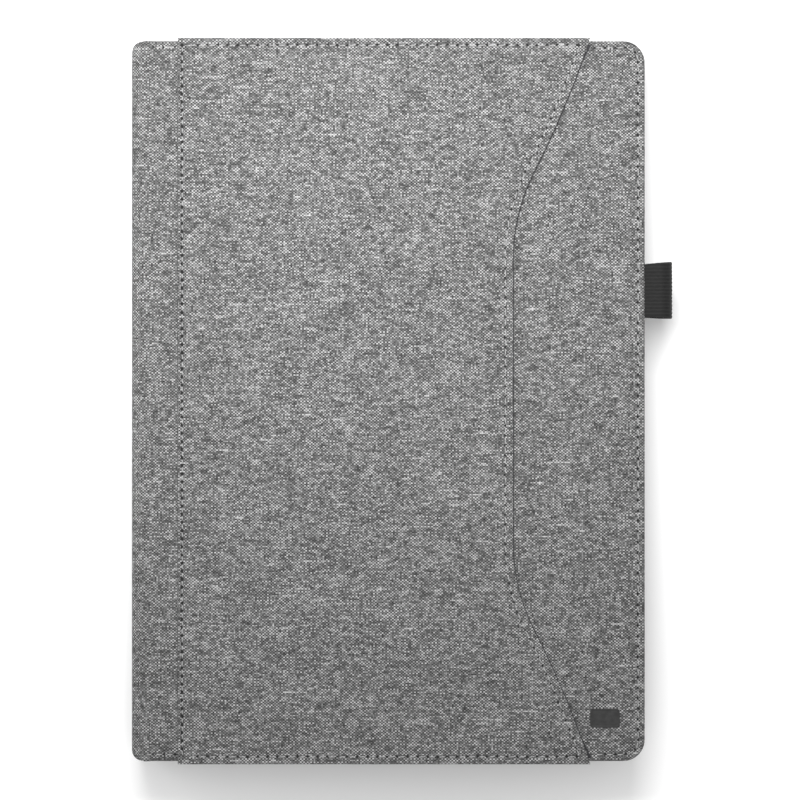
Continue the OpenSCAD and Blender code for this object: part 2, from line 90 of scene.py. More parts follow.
def linear(hex_colour):
    """An sRGB hex colour as linear RGBA."""
    parts = [int(hex_colour[i:i + 2], 16) / 255 for i in (1, 3, 5)]
    return tuple(c / 12.92 if c <= 0.04045 else ((c + 0.055) / 1.055) ** 2.4 for c in parts) + (1.0,)


def add(tree, kind, links=None, stops=(), **settings):
    """Adds a shader node: inputs as values, nodes or sockets, a ramp's (place, hex) stops, settings."""
    made = tree.nodes.new("ShaderNode" + kind)
    for name, value in settings.items():
        setattr(made, name, value)
    for name, value in (links or {}).items():
        if isinstance(value, bpy.types.Node):
            value = value.outputs[0]
        if isinstance(value, bpy.types.NodeSocket):
            tree.links.new(value, made.inputs[name])
        else:
            made.inputs[name].default_value = value
    for number, (place, colour) in enumerate(stops):
        elements = made.color_ramp.elements
        element = elements[number] if number < len(elements) else elements.new(place)
        element.position = place
        element.color = linear(colour)
    return made


def new_material(name):
    """A new material and its empty tree."""
    made = bpy.data.materials.new(name)
    made.use_nodes = True
    made.node_tree.nodes.clear()
    return made, made.node_tree


def surface(tree, **shader):
    """Ends a material in one Principled shader; underscores stand for the spaces in its inputs' names."""
    values = {name.replace("_", " "): value for name, value in shader.items()}
    shade = add(tree, "BsdfPrincipled", values)
    add(tree, "OutputMaterial", {"Surface": shade})


def per_metre(size_mm, along=(1, 1, 1)):
    """The scale that makes a pattern's grain size_mm long, and so many times longer along each axis."""
    return tuple(1 / (size_mm * MM * times) for times in along)


# Distance between neighbouring yarns in millimetres: about twice the real cloth's,
# because its own yarns would be too fine to show
WARP_PITCH = 0.64
WEFT_PITCH = 0.54
# Distance between the elastic's rubber cores
RIB_PITCH = 1.33 * MM


def yarn_tone(tree, along, number, length_mm, seed):
    """How pale a yarn is along its length: each yarn number has its own run of tones."""
    scaled = add(tree, "Math", {0: along, 1: length_mm}, operation="DIVIDE")
    apart = add(tree, "Math", {0: number, 1: 3.7}, operation="MULTIPLY")
    place = add(tree, "CombineXYZ", {"X": scaled, "Y": apart, "Z": seed})
    return add(tree, "TexNoise", {"Vector": place, "Scale": 1.0, "Detail": 2.0, "Roughness": 0.75})


def woven_linen():
    # Mixed grey polyester woven plain, one over and one under, to look like linen.
    # The eye sees a dry, matt cross-hatch: each yarn turns pale and dark along its
    # length, the weft is the paler one, and a few thick slubs run right across.
    made, tree = new_material("woven_linen")
    place = add(tree, "UVMap", uv_map="cloth")
    # The yarns wander a little, as in any cloth
    drift = add(tree, "TexNoise", {"Vector": place, "Scale": 0.03, "Detail": 1.0})
    centred = add(tree, "VectorMath", {0: drift.outputs["Color"], 1: (0.5, 0.5, 0.5)}, operation="SUBTRACT")
    moved = add(tree, "VectorMath", {0: centred, 1: (0.9, 0.9, 0.9), 2: place}, operation="MULTIPLY_ADD")
    axes = add(tree, "SeparateXYZ", {0: moved})
    across, along = axes.outputs["X"], axes.outputs["Y"]
    column = add(tree, "Math", {0: across, 1: WARP_PITCH}, operation="DIVIDE")
    row = add(tree, "Math", {0: along, 1: WEFT_PITCH}, operation="DIVIDE")
    column_number = add(tree, "Math", {0: column}, operation="FLOOR")
    row_number = add(tree, "Math", {0: row}, operation="FLOOR")
    both = add(tree, "Math", {0: column_number, 1: row_number}, operation="ADD")
    weft_up = add(tree, "Math", {0: both, 1: 2.0}, operation="FLOORED_MODULO")
    weft = yarn_tone(tree, across, row_number, 4.2, 0.0)
    warp = yarn_tone(tree, along, column_number, 4.2, 40.0)
    pale_weft = add(tree, "Math", {0: weft, 1: 0.75, 2: 0.24}, operation="MULTIPLY_ADD")
    dark_warp = add(tree, "Math", {0: warp, 1: 0.75, 2: 0.02}, operation="MULTIPLY_ADD")
    over = add(tree, "Mix", {0: weft_up, 2: dark_warp, 3: pale_weft}, data_type="FLOAT")
    # One stretch of yarn in a few is thick and pale: a slub
    thick = yarn_tone(tree, across, row_number, 14.0, 80.0)
    slub = add(tree, "MapRange", {"Value": thick, "From Min": 0.60, "From Max": 0.74, "To Max": 0.2})
    crossing = add(tree, "CombineXYZ", {"X": column_number, "Y": row_number})
    fleck = add(tree, "TexWhiteNoise", {"Vector": crossing}, noise_dimensions="2D")
    flecked = add(tree, "Mix", {0: 0.17, 2: over, 3: fleck}, data_type="FLOAT")
    slubbed = add(tree, "Math", {0: flecked, 1: slub}, operation="ADD")
    # Painted shade: each yarn is round, so the gaps beside it are coloured darker, where shade falls
    weft_side = add(tree, "Math", {0: row, 1: 0.5}, operation="PINGPONG")
    warp_side = add(tree, "Math", {0: column, 1: 0.5}, operation="PINGPONG")
    round_yarn = add(tree, "Mix", {0: weft_up, 2: warp_side, 3: weft_side}, data_type="FLOAT")
    gap = add(tree, "MapRange", {"Value": round_yarn, "From Max": 0.22, "To Min": -0.14, "To Max": 0.02})
    # Whole areas are a touch paler or darker where the bale changed
    cloud = add(tree, "TexNoise", {"Vector": place, "Scale": 1 / 13.0, "Detail": 3.0, "Roughness": 0.6})
    clouded = add(tree, "Math", {0: cloud, 1: 0.08, 2: -0.04}, operation="MULTIPLY_ADD")
    with_gap_shade = add(tree, "Math", {0: slubbed, 1: gap}, operation="ADD")
    tone = add(tree, "Math", {0: with_gap_shade, 1: clouded}, operation="ADD")
    colour = add(
        tree, "ValToRGB", {"Fac": tone},
        [(0.20, "#0c0c0c"), (0.34, "#282828"), (0.45, "#3c3c3c"), (0.56, "#616161"), (0.72, "#a0a0a0")],
    )
    height = add(tree, "Math", {0: tone, 1: 0.6, 2: round_yarn}, operation="MULTIPLY_ADD")
    relief = add(tree, "Bump", {"Height": height, "Distance": 0.1 * MM, "Strength": 0.4})
    surface(tree, Base_Color=colour, Normal=relief, Roughness=0.9, Sheen_Weight=0.1, Specular_IOR_Level=0.2)
    return made


def grained(name, grain_mm, stops, relief=None, along=(1, 1, 1), detail=2.0, fade=0.6, **shader):
    """A finish with one fine pattern, in its tones and in its relief: (depth in mm, strength)."""
    made, tree = new_material(name)
    place = add(tree, "TexCoord").outputs["Object"]
    lie = add(tree, "Mapping", {"Vector": place, "Scale": per_metre(grain_mm, along)})
    grain = add(tree, "TexNoise", {"Vector": lie, "Scale": 1.0, "Detail": detail, "Roughness": fade})
    shader["Base_Color"] = add(tree, "ValToRGB", {"Fac": grain}, stops)
    if relief:
        depth, strength = relief
        shader["Normal"] = add(tree, "Bump", {"Height": grain, "Distance": depth * MM, "Strength": strength})
    surface(tree, **shader)
    return made


def sewing_thread():
    # Twisted polyester thread, grey like the cloth, with a faint sheen on its plies
    return grained(
        "sewing_thread", 0.25, [(0.35, "#666666"), (0.65, "#9e9e9e")], (0.05, 0.6),
        detail=1.0, fade=0.5, Roughness=0.6, Sheen_Weight=0.2,
    )


def needle_hole_shade():
    # Painted shade: the pit where a stitch goes in, coloured near black for the shade inside it
    pit = [(0.3, "#050505"), (0.7, "#161616")]
    return grained("needle_hole_shade", 0.3, pit, detail=1.0, fade=0.5, Roughness=0.95)


def brushed_microfibre(name, dark, pale):
    # Knitted microfibre with a brushed face: soft, nearly black, cloudy where it is stroked
    made, tree = new_material(name)
    place = add(tree, "TexCoord").outputs["Object"]
    fluff = add(
        tree, "TexNoise",
        {"Vector": place, "Scale": per_metre(0.35)[0], "Detail": 3.0, "Roughness": 0.6},
    )
    lie = add(tree, "Mapping", {"Vector": place, "Scale": per_metre(22, (1, 1.6, 1))})
    nap = add(tree, "TexNoise", {"Vector": lie, "Scale": 1.0, "Detail": 2.0, "Roughness": 0.6})
    tone = add(tree, "Mix", {0: 0.45, 2: fluff, 3: nap}, data_type="FLOAT")
    colour = add(tree, "ValToRGB", {"Fac": tone}, [(0.35, dark), (0.65, pale)])
    relief = add(tree, "Bump", {"Height": fluff, "Distance": 0.12 * MM, "Strength": 0.6})
    surface(tree, Base_Color=colour, Normal=relief, Roughness=0.92, Sheen_Weight=0.35, Sheen_Roughness=0.4)
    return made


def ribbed_elastic():
    # Woven elastic: black rubber cores wrapped in yarn, with a painted highlight along each rib's crest
    made, tree = new_material("ribbed_elastic")
    place = add(tree, "TexCoord").outputs["Object"]
    run = add(tree, "Mapping", {"Vector": place, "Scale": per_metre(0.3, (4, 1, 4))})
    yarn = add(tree, "TexNoise", {"Vector": run, "Scale": 1.0, "Detail": 2.0, "Roughness": 0.6})
    axes = add(tree, "SeparateXYZ", {0: place})
    cores = add(tree, "Math", {0: axes.outputs["Y"], 1: RIB_PITCH}, operation="DIVIDE")
    rib = add(tree, "Math", {0: cores, 1: 0.5}, operation="PINGPONG")
    doubled = add(tree, "Math", {0: rib, 1: 2.0}, operation="MULTIPLY")
    # Painted highlight: each rib's crest is coloured lighter, as if it caught the light
    crest_highlight = add(tree, "Math", {0: doubled, 1: 3.0}, operation="POWER")
    tone = add(tree, "Mix", {0: 0.4, 2: yarn, 3: crest_highlight}, data_type="FLOAT")
    colour = add(tree, "ValToRGB", {"Fac": tone}, [(0.2, "#020202"), (0.8, "#1e1e1e")])
    relief = add(tree, "Bump", {"Height": tone, "Distance": 0.12 * MM, "Strength": 0.7})
    surface(tree, Base_Color=colour, Normal=relief, Roughness=0.8, Sheen_Weight=0.05, Specular_IOR_Level=0.25)
    return made


def moulded_plastic(name, dark, pale, grain_mm=0.28, roughness=0.5):
    # Injection moulded ABS with a fine spark-eroded texture that scatters the highlights
    made, tree = new_material(name)
    place = add(tree, "TexCoord").outputs["Object"]
    grain = add(
        tree, "TexNoise",
        {"Vector": place, "Scale": per_metre(grain_mm)[0], "Detail": 2.0, "Roughness": 0.6},
    )
    wear = add(
        tree, "TexNoise",
        {"Vector": place, "Scale": per_metre(18)[0], "Detail": 3.0, "Roughness": 0.6},
    )
    colour = add(tree, "ValToRGB", {"Fac": wear}, [(0.3, dark), (0.7, pale)])
    dull = add(tree, "MapRange", {"Value": wear, "To Min": roughness - 0.07, "To Max": roughness + 0.1})
    relief = add(tree, "Bump", {"Height": grain, "Distance": 0.03 * MM, "Strength": 0.5})
    surface(tree, Base_Color=colour, Normal=relief, Roughness=dull, IOR=1.53)
    return made


def rolled_steel(name, dark, pale, roughness=0.34):
    # Cold rolled and plated steel: long fine lines in the rolling direction
    return grained(
        name, 0.3, [(0.3, dark), (0.7, pale)], (0.02, 0.4), (1, 40, 1), Roughness=roughness, Metallic=1.0,
    )


def soft_rubber(name, dark, pale, roughness=0.62):
    # Moulded silicone: matt with a greasy softness and a little dust in its grain
    return grained(
        name, 2.5, [(0.35, dark), (0.7, pale)], (0.04, 0.4), detail=4.0, Roughness=roughness, IOR=1.41,
    )


def pressed_board(name, dark, pale, roughness=0.9):
    # Greyboard, foam tape or coated film: flat, with fibres or specks pressed in
    return grained(
        name, 0.6, [(0.3, dark), (0.7, pale)], (0.04, 0.4), (3, 1, 1), detail=4.0, Roughness=roughness,
    )


def clear_acrylic():
    # Moulded acrylic light pipe: glossy, milky from the side
    haze = [(0.3, "#dfe7ea"), (0.7, "#f6fafb")]
    return grained("clear_acrylic", 0.8, haze, Roughness=0.12, IOR=1.49, Transmission_Weight=0.6)


LINEN = woven_linen()
THREAD = sewing_thread()
HOLE_SHADE = needle_hole_shade()
LINING = brushed_microfibre("brushed_microfibre", "#141416", "#2c2c2f")
TAPE = brushed_microfibre("woven_tape", "#0f0f10", "#262628")
ELASTIC = ribbed_elastic()
CASE_PLASTIC = moulded_plastic("moulded_abs", "#1b1c1e", "#2a2b2e")
CAP_PLASTIC = moulded_plastic("keycap_abs", "#17181a", "#222326", 0.2, 0.55)
CONTROL_PLASTIC = moulded_plastic("control_abs", "#2c2d30", "#3b3c40", 0.2, 0.45)
LEGEND_INK = pressed_board("legend_ink", "#c9ccd0", "#eceef0", 0.6)
LABEL = soft_rubber("pressed_label", "#222222", "#2e2e2e", 0.8)
SILICONE = soft_rubber("silicone_grip", "#0c0c0d", "#202022")
DOMES = soft_rubber("silicone_domes", "#b9b6ad", "#d4d1c8", 0.5)
GREYBOARD = pressed_board("greyboard", "#6f685d", "#958d80")
FOAM_TAPE = pressed_board("foam_tape", "#c4bfb1", "#e2ded3")
FILM = pressed_board("printed_film", "#7d9184", "#a9bbb0", 0.4)
SOLDER_MASK = pressed_board("solder_mask", "#16402b", "#24573c", 0.35)
FOIL = rolled_steel("battery_foil", "#9aa0a8", "#c3c8ce", 0.42)
STEEL = rolled_steel("rolled_steel", "#8e9296", "#c2c6ca")
PLATED = rolled_steel("plated_steel", "#9a9da1", "#d6d8da", 0.25)
ACRYLIC = clear_acrylic()


# ---------- mesh helpers ----------

def merged(node):
    """A copy of a CAD node's mesh with its loose triangles joined at their corners."""
    bm = bmesh.new()
    bm.from_mesh(frame["nodes"][node].data)
    bmesh.ops.remove_doubles(bm, verts=bm.verts, dist=0.001 * MM)
    return bm


def flattened(node):
    """The same copy with its flat faces joined up."""
    bm = merged(node)
    bmesh.ops.dissolve_limit(bm, angle_limit=math.radians(0.5), verts=bm.verts, edges=bm.edges)
    return bm


def signed_area(points):
    """An outline's area, below zero where it runs clockwise."""
    return sum(a[0] * b[1] - b[0] * a[1] for a, b in zip(points, points[1:] + points[:1])) / 2


def outline_of(node, direction=(0, 0, 1)):
    """The corners, in order, of a CAD node's largest flat face towards direction."""
    bm = flattened(node)
    bm.normal_update()
    way = Vector(direction)
    facing = [f for f in bm.faces if f.normal.dot(way) > 0.99]
    largest = max(facing, key=lambda f: f.calc_area())
    points = [(v.co.x, v.co.y) for v in largest.verts]
    bm.free()
    return points if signed_area(points) > 0 else points[::-1]


def as_mesh(bm, name="pattern"):
    """A mesh made from a bmesh, which is freed."""
    mesh = bpy.data.meshes.new(name)
    bm.to_mesh(mesh)
    bm.free()
    return mesh


def absorb(bm, mesh):
    """Adds a mesh's shape to a bmesh and removes the mesh."""
    bm.from_mesh(mesh)
    bpy.data.meshes.remove(mesh)


def finish_piece(bm, name, body, materials, *nodes, slot=None, angle=40):
    """Turns a bmesh into a smooth-shaded piece that rides on a body and replaces CAD nodes."""
    mesh = as_mesh(bm, name)
    mesh.shade_smooth()
    mesh.set_sharp_from_angle(angle=math.radians(angle))
    piece = bpy.data.objects.new(name, mesh)
    bpy.context.scene.collection.objects.link(piece)
    for material in materials if isinstance(materials, (list, tuple)) else [materials]:
        mesh.materials.append(material)
    even = piece.modifiers.new("even_shading", "WEIGHTED_NORMAL")
    even.keep_sharp = True
    if body:
        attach(piece, body)
    if nodes:
        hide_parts(*nodes)
    return piece


def bevel(bm, edges, width, segments=3):
    """Rounds edges."""
    bmesh.ops.bevel(
        bm, geom=edges, offset=width, offset_type="OFFSET", affect="EDGES",
        segments=segments, profile=0.5, material=-1, clamp_overlap=True,
    )


def extruded(bm, face, move):
    """Extrudes a face by a vector and gives the new face; its edges go along, so none stays inside."""
    made = bmesh.ops.extrude_face_region(bm, geom=[face, *face.edges])
    face = next(g for g in made["geom"] if isinstance(g, bmesh.types.BMFace))
    bmesh.ops.translate(bm, verts=list(face.verts), vec=move)
    return face


def swept(section, ys):
    """A closed XZ section carried along Y through each place in ys."""
    bm = bmesh.new()
    face = bm.faces.new([bm.verts.new((x, ys[0], z)) for x, z in section])
    for y0, y1 in zip(ys, ys[1:]):
        face = extruded(bm, face, (0, y1 - y0, 0))
    bmesh.ops.recalc_face_normals(bm, faces=bm.faces)
    return bm


def slab(points, low, high, round_low, round_high, keep=lambda v: False, segments=4):
    """A slab on an outline, rounded at both rims except where keep() holds, and its two flat faces."""
    bm = bmesh.new()
    bottom = bm.faces.new([bm.verts.new((x, y, low)) for x, y in points])
    top = extruded(bm, bottom, (0, 0, high - low))
    for face, width in ((bottom, round_low), (top, round_high)):
        if width:
            rim = [e for e in face.edges if not all(keep(v.co) for v in e.verts)]
            bevel(bm, rim, width, segments)
    bmesh.ops.recalc_face_normals(bm, faces=bm.faces)
    caps = []
    for way in (-1, 1):
        level = [f for f in bm.faces if f.normal.z * way > 0.999]
        # A narrow bar's rounded rims leave it no flat face
        caps.append(max(level, key=lambda f: f.calc_area()) if level else None)
    return bm, caps


def rings(bm, face, steps):
    """Insets a flat face again and again: (how far in, how far up) for each ring."""
    for inward, up in steps:
        bmesh.ops.inset_region(
            bm, faces=[face], thickness=inward, depth=up, use_even_offset=True, use_boundary=True,
        )


def sewn_groove(bm, face, distance, already):
    """Draws a face down along a seam: distance is the seam's, from the rim that lies already inside."""
    steps = [
        (distance - already - 1.0 * MM, 0), (0.55 * MM, 0.04 * MM - SEAM_DIP), (0.45 * MM, -0.04 * MM),
        (0.45 * MM, 0.04 * MM), (0.55 * MM, SEAM_DIP - 0.04 * MM),
    ]
    rings(bm, face, steps)


def map_cloth(bm, place):
    """Lays the cloth map: place gives millimetres across and along for a point."""
    layer = bm.loops.layers.uv.new("cloth")
    for face in bm.faces:
        for loop in face.loops:
            loop[layer].uv = place(loop.vert.co)


def flat_cloth(point):
    """Cloth lying flat, with its cut edges turned down round the rims."""
    return (point.x / MM + point.z / MM * 0.3, point.y / MM + point.z / MM * 0.3)


def fold_cloth(point):
    """Cloth that runs round the spine: distance along its section, from the front cover's fold."""
    turn_r, turn_run = 3.5 * MM, 5.5 * MM
    down = HIGH_HINGE.z - LOW_HINGE.z
    if point.z > HIGH_HINGE.z:
        past = point.x - HIGH_HINGE.x
        across = past if past > 0 else turn_r * math.atan2(past, point.z - HIGH_HINGE.z)
    elif point.z < LOW_HINGE.z:
        past = point.x - LOW_HINGE.x
        turned = turn_run + past if past > 0 else turn_r * math.atan2(LOW_HINGE.z - point.z, -past)
        across = -down - turn_run - turned
    else:
        across = -turn_run - (HIGH_HINGE.z - point.z)
    return ((HIGH_HINGE.x + across) / MM, point.y / MM)


# ---------- stitching ----------

def inset_path(points, distance):
    """A closed outline moved inwards by a distance."""
    moved = []
    count = len(points)
    for i in range(count):
        a, b, c = (Vector(points[(i + k) % count]) for k in (-1, 0, 1))
        before, after = (b - a).normalized(), (c - b).normalized()
        normals = [Vector((-d.y, d.x)) for d in (before, after)]
        mean = (normals[0] + normals[1]).normalized()
        moved.append(b + mean * distance / max(mean.dot(normals[0]), 0.3))
    return moved


def spaced(path, pitch):
    """Places a pitch apart along an open path of 2-D points: (place, direction)."""
    lengths = [(b - a).length for a, b in zip(path, path[1:])]
    total = sum(lengths)
    count = max(1, round(total / pitch))
    step = total / count
    found = []
    at, start = 0, 0.0
    for i in range(count):
        want = (i + 0.5) * step
        while start + lengths[at] < want:
            start += lengths[at]
            at += 1
        way = (path[at + 1] - path[at]).normalized()
        found.append((path[at] + way * (want - start), way))
    return found


def stitch_shape(length):
    """One stitch along X: a thread that rises out of one hole and dives into the next."""
    bm = bmesh.new()
    sides, sections = 6, 5
    loops = []
    for i in range(sections):
        t = i / (sections - 1)
        x = (t - 0.5) * length
        rise = math.sin(math.pi * t)
        r = THREAD_R * (0.55 + 0.45 * rise)
        made = bmesh.ops.create_circle(bm, segments=sides, radius=r, cap_ends=False)
        turn = Matrix.Rotation(math.radians(90), 3, "Y")
        bmesh.ops.rotate(bm, verts=made["verts"], matrix=turn)
        bmesh.ops.translate(bm, verts=made["verts"], vec=(x, 0, THREAD_R * (1.5 * rise - 0.9)))
        loops.append(made["verts"])
    bm.verts.ensure_lookup_table()
    for a, b in zip(loops, loops[1:]):
        edges = [e for e in bm.edges if all(v in a for v in e.verts) or all(v in b for v in e.verts)]
        bmesh.ops.bridge_loops(bm, edges=edges)
    for end in (loops[0], loops[-1]):
        bmesh.ops.contextual_create(bm, geom=[e for e in bm.edges if all(v in end for v in e.verts)])
    bmesh.ops.recalc_face_normals(bm, faces=bm.faces)
    return bm


def hole_shape(radius):
    """A needle hole: a low rim dished in the middle, dark with painted shade."""
    bm = bmesh.new()
    bmesh.ops.create_cone(
        bm, cap_ends=True, segments=8, radius1=radius, radius2=0.85 * radius, depth=0.08 * MM,
    )
    top = max(bm.faces, key=lambda f: f.calc_center_median().z)
    rings(bm, top, [(0.3 * radius, -0.05 * MM)])
    return bm


def placed(bm, mesh, matrix, material=0):
    """Adds a copy of a mesh to a bmesh, moved by a matrix, with its faces in one material slot."""
    first, first_face = len(bm.verts), len(bm.faces)
    bm.from_mesh(mesh)
    bm.verts.ensure_lookup_table()
    bm.faces.ensure_lookup_table()
    bmesh.ops.transform(bm, matrix=matrix, verts=bm.verts[first:])
    for face in bm.faces[first_face:]:
        face.material_index = material


def seam(name, body, runs):
    """Stitches and needle holes along runs: (path, pitch, height, up or down, slant, hole radius) each."""
    rng = random.Random(name)
    whole = bmesh.new()
    for path, pitch, height, up, slant, hole_radius in runs:
        hole = as_mesh(hole_shape(hole_radius))
        thread = as_mesh(stitch_shape(pitch - 1.1 * MM))
        for place, way in spaced(path, pitch):
            heading = math.atan2(way.y, way.x) + math.radians(slant + rng.uniform(-3, 3))
            base = Matrix.Translation((place.x, place.y, height)) @ Matrix.Rotation(heading, 4, "Z")
            if up < 0:
                base = base @ Matrix.Rotation(math.pi, 4, "X")
            placed(whole, thread, base)
            ahead, aside = pitch * (0.5 + rng.uniform(-0.04, 0.04)), rng.uniform(-0.08, 0.08) * MM
            spot = base @ Matrix.Translation((ahead, aside, 0.08 * MM))
            spot = spot @ Matrix.Diagonal((rng.uniform(0.85, 1.15), rng.uniform(0.85, 1.15), 1, 1))
            placed(whole, hole, spot, 1)
        bpy.data.meshes.remove(thread)
        bpy.data.meshes.remove(hole)
    return finish_piece(whole, name, body, [THREAD, HOLE_SHADE], slot="linen_weave", angle=60)


# ---------- covers ----------

def at_fold(co):
    """Says whether a point lies on a cover's square side, which the fold's cloth carries on."""
    return co.x < FOLD_X + 0.01 * MM


def cover(name, body, node, way):
    """A cover's cloth: outer face with a sewn groove, rolled rims and a square side at the fold."""
    rolled, turned = 1.15 * MM, 0.7 * MM
    low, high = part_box(node)
    points = [(max(x, FOLD_X), y) for x, y in outline_of(node, (0, 0, way))]
    rims = (turned, rolled) if way > 0 else (rolled, turned)
    bm, caps = slab(points, low.z, high.z, *rims, at_fold, 5)
    sewn_groove(bm, caps[1] if way > 0 else caps[0], SEAM_IN, rolled)
    map_cloth(bm, flat_cloth)
    return finish_piece(bm, name, body, LINEN, node, slot="linen_weave")


def arc(cx, cz, rx, rz, start, end, steps=8):
    """Points of an arc in the XZ plane, angles from +X towards +Z."""
    found = []
    for i in range(steps + 1):
        a = math.radians(start + (end - start) * i / steps)
        found.append((cx + rx * math.cos(a), cz + rz * math.sin(a)))
    return found


def sweep(name, outer, inner, half, nodes, bodies, span, material, slot):
    """Cloth swept along the spine from its outer and inner XZ lines, shaped round a fold between two bodies,
    which are not used.
    """
    # The sections lie closer together towards the rounded ends
    ends = [s * MM for s in (0, 0.25, 0.6, 1.1, 1.8, 2.8, 4.0)]
    ys = [half - s for s in ends] + [half * k / 12 for k in range(11, -12, -1)]
    ys += [s - half for s in reversed(ends)]
    bm = swept(outer + inner, ys)
    if material is LINEN:
        round_ends(bm, half, inner)
    map_cloth(bm, fold_cloth)
    piece = finish_piece(bm, name, None, material, *nodes, slot=slot, angle=50)
    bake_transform(piece)


def round_ends(bm, half, inner):
    """Draws the spine's ends in to round corners; the inner face follows half as far where it can."""
    spine_wall = SPINE_HIGH.x - SPINE_LOW.x
    least_wall = 0.3 * MM
    same = 0.01 * MM
    hem, hem_run = 0.5 * MM, 0.9 * MM
    fade = 3 * MM
    for v in bm.verts:
        inside = half - abs(v.co.y)
        lack = 1 - min(1.0, inside / SPINE_END_R)
        pull = SPINE_END_R * (1 - math.sqrt(1 - lack * lack))
        soft = hem * (1 - min(1.0, inside / hem_run)) ** 2
        if v.co.x > LOW_HINGE.x:
            v.co.z += soft if v.co.z < MID_SPINE else -soft
        wall = 0.0
        if any(abs(v.co.x - x) + abs(v.co.z - z) < same for x, z in inner):
            wall = spine_wall if abs(v.co.x - SPINE_HIGH.x) < same else SKIN
        past = (LOW_HINGE.x + 1 * MM - v.co.x + wall) / fade
        shift = pull * max(0.0, min(1.0, past))
        v.co.x += max(shift / 2, shift - wall + least_wall) if wall else shift


def fold_sections():
    """The outer cloth's (outer, inner) lines round the lower and the upper fold, which meet mid-spine."""
    outer_x, inner_x = SPINE_LOW.x, SPINE_HIGH.x
    low_r = LOW_HINGE.x - outer_x
    high_r = FRONT_HIGH.z - HIGH_HINGE.z
    hem = 1.7 * MM
    start = LOW_HINGE.x + 2.2 * MM
    low_outer = [(FOLD_X, BACK_LOW.z)]
    low_outer += arc(LOW_HINGE.x, LOW_HINGE.z, low_r, LOW_HINGE.z, 270, 180) + [(outer_x, MID_SPINE)]
    low_inner = [(inner_x, MID_SPINE), (inner_x, SPINE_LOW.z + hem)]
    low_inner += arc(LOW_HINGE.x, LOW_HINGE.z, low_r - SKIN, LOW_HINGE.z - SKIN, 180, 270)
    low_inner += [(start, BACK_HIGH.z), (FOLD_X, BACK_HIGH.z)]
    high_inner = [(FOLD_X, FRONT_LOW.z), (start, FRONT_LOW.z)]
    high_inner += arc(HIGH_HINGE.x, HIGH_HINGE.z, low_r - SKIN, high_r - SKIN, 90, 180)
    high_inner += [(inner_x, SPINE_HIGH.z - hem), (inner_x, MID_SPINE)]
    high_outer = [(outer_x, MID_SPINE)] + arc(HIGH_HINGE.x, HIGH_HINGE.z, low_r, high_r, 180, 90)
    high_outer += [(FOLD_X, FRONT_HIGH.z)]
    return (low_outer, low_inner), (high_outer, high_inner)


def lining_sections():
    """The lining's (outer, inner) lines round the inner corners of the same folds."""
    x0, x1 = SPINE_LINING_LOW.x, SPINE_LINING_HIGH.x
    z_low, z_high = SPINE_LINING_LOW.z, SPINE_LINING_HIGH.z
    fold_x = BACK_LINING_LOW.x
    r, inner_r = fold_x - x0, fold_x - x1
    low_outer = [(FOLD_X, BACK_LINING_LOW.z)] + arc(fold_x, z_low, r, r, 270, 180) + [(x0, MID_SPINE)]
    low_inner = [(x1, MID_SPINE)] + arc(fold_x, z_low, inner_r, inner_r, 180, 270)
    low_inner += [(FOLD_X, BACK_LINING_HIGH.z)]
    high_inner = [(FOLD_X, FRONT_LINING_LOW.z)] + arc(fold_x, z_high, inner_r, inner_r, 90, 180)
    high_inner += [(x1, MID_SPINE)]
    high_outer = [(x0, MID_SPINE)] + arc(fold_x, z_high, r, r, 180, 90) + [(FOLD_X, FRONT_LINING_HIGH.z)]
    return (low_outer, low_inner), (high_outer, high_inner)


def make_folds():
    """Two cloth strips and two lining strips: one of each for either hinge line of the spine."""
    up_spine, beside, in_cover = 2.6 * MM, 3.5 * MM, FOLD_X - 1 * MM
    folds = (
        (("back_cover", "spine"), (
            (in_cover, 0, LOW_HINGE.z - beside), (LOW_HINGE.x - beside, 0, LOW_HINGE.z + up_spine),
        )),
        (("spine", "front_cover"), (
            (HIGH_HINGE.x - beside, 0, HIGH_HINGE.z - up_spine), (in_cover, 0, HIGH_HINGE.z + 2.5 * MM),
        )),
    )
    kinds = (
        ("cloth", fold_sections(), FRONT_HIGH.y, LINEN, "linen_weave", (
            ("hinge_fabric_back",), ("hinge_fabric_front", "spine_outer_fabric"),
        )),
        ("lining", lining_sections(), FRONT_LINING_HIGH.y, LINING, "microfibre_lining", (
            ("hinge_lining_back",), ("hinge_lining_front", "spine_lining"),
        )),
    )
    for kind, lines, half, material, slot, nodes in kinds:
        for side, (outer, inner), replaced, fold in zip(("lower", "upper"), lines, nodes, folds):
            sweep(f"{side}_fold_{kind}", outer, inner, half, replaced, *fold, material, slot)


def lining(name, body, node, way):
    """A lining sheet with soft cut edges and a sewn groove on its open side."""
    soft = 0.35 * MM
    low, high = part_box(node)
    points = [(max(x, FOLD_X), y) for x, y in outline_of(node, (0, 0, way))]
    rims = (0, soft) if way > 0 else (soft, 0)
    bm, caps = slab(points, low.z, high.z, *rims, at_fold, 3)
    inward = SEAM_IN - (BACK_HIGH.y - high.y) - soft - 0.6 * MM
    steps = [(inward, 0), (0.5 * MM, -LINING_DIP), (0.2 * MM, 0), (0.5 * MM, LINING_DIP)]
    rings(bm, caps[1] if way > 0 else caps[0], steps)
    return finish_piece(bm, name, body, LINING, node, slot="microfibre_lining")


# ---------- pocket ----------

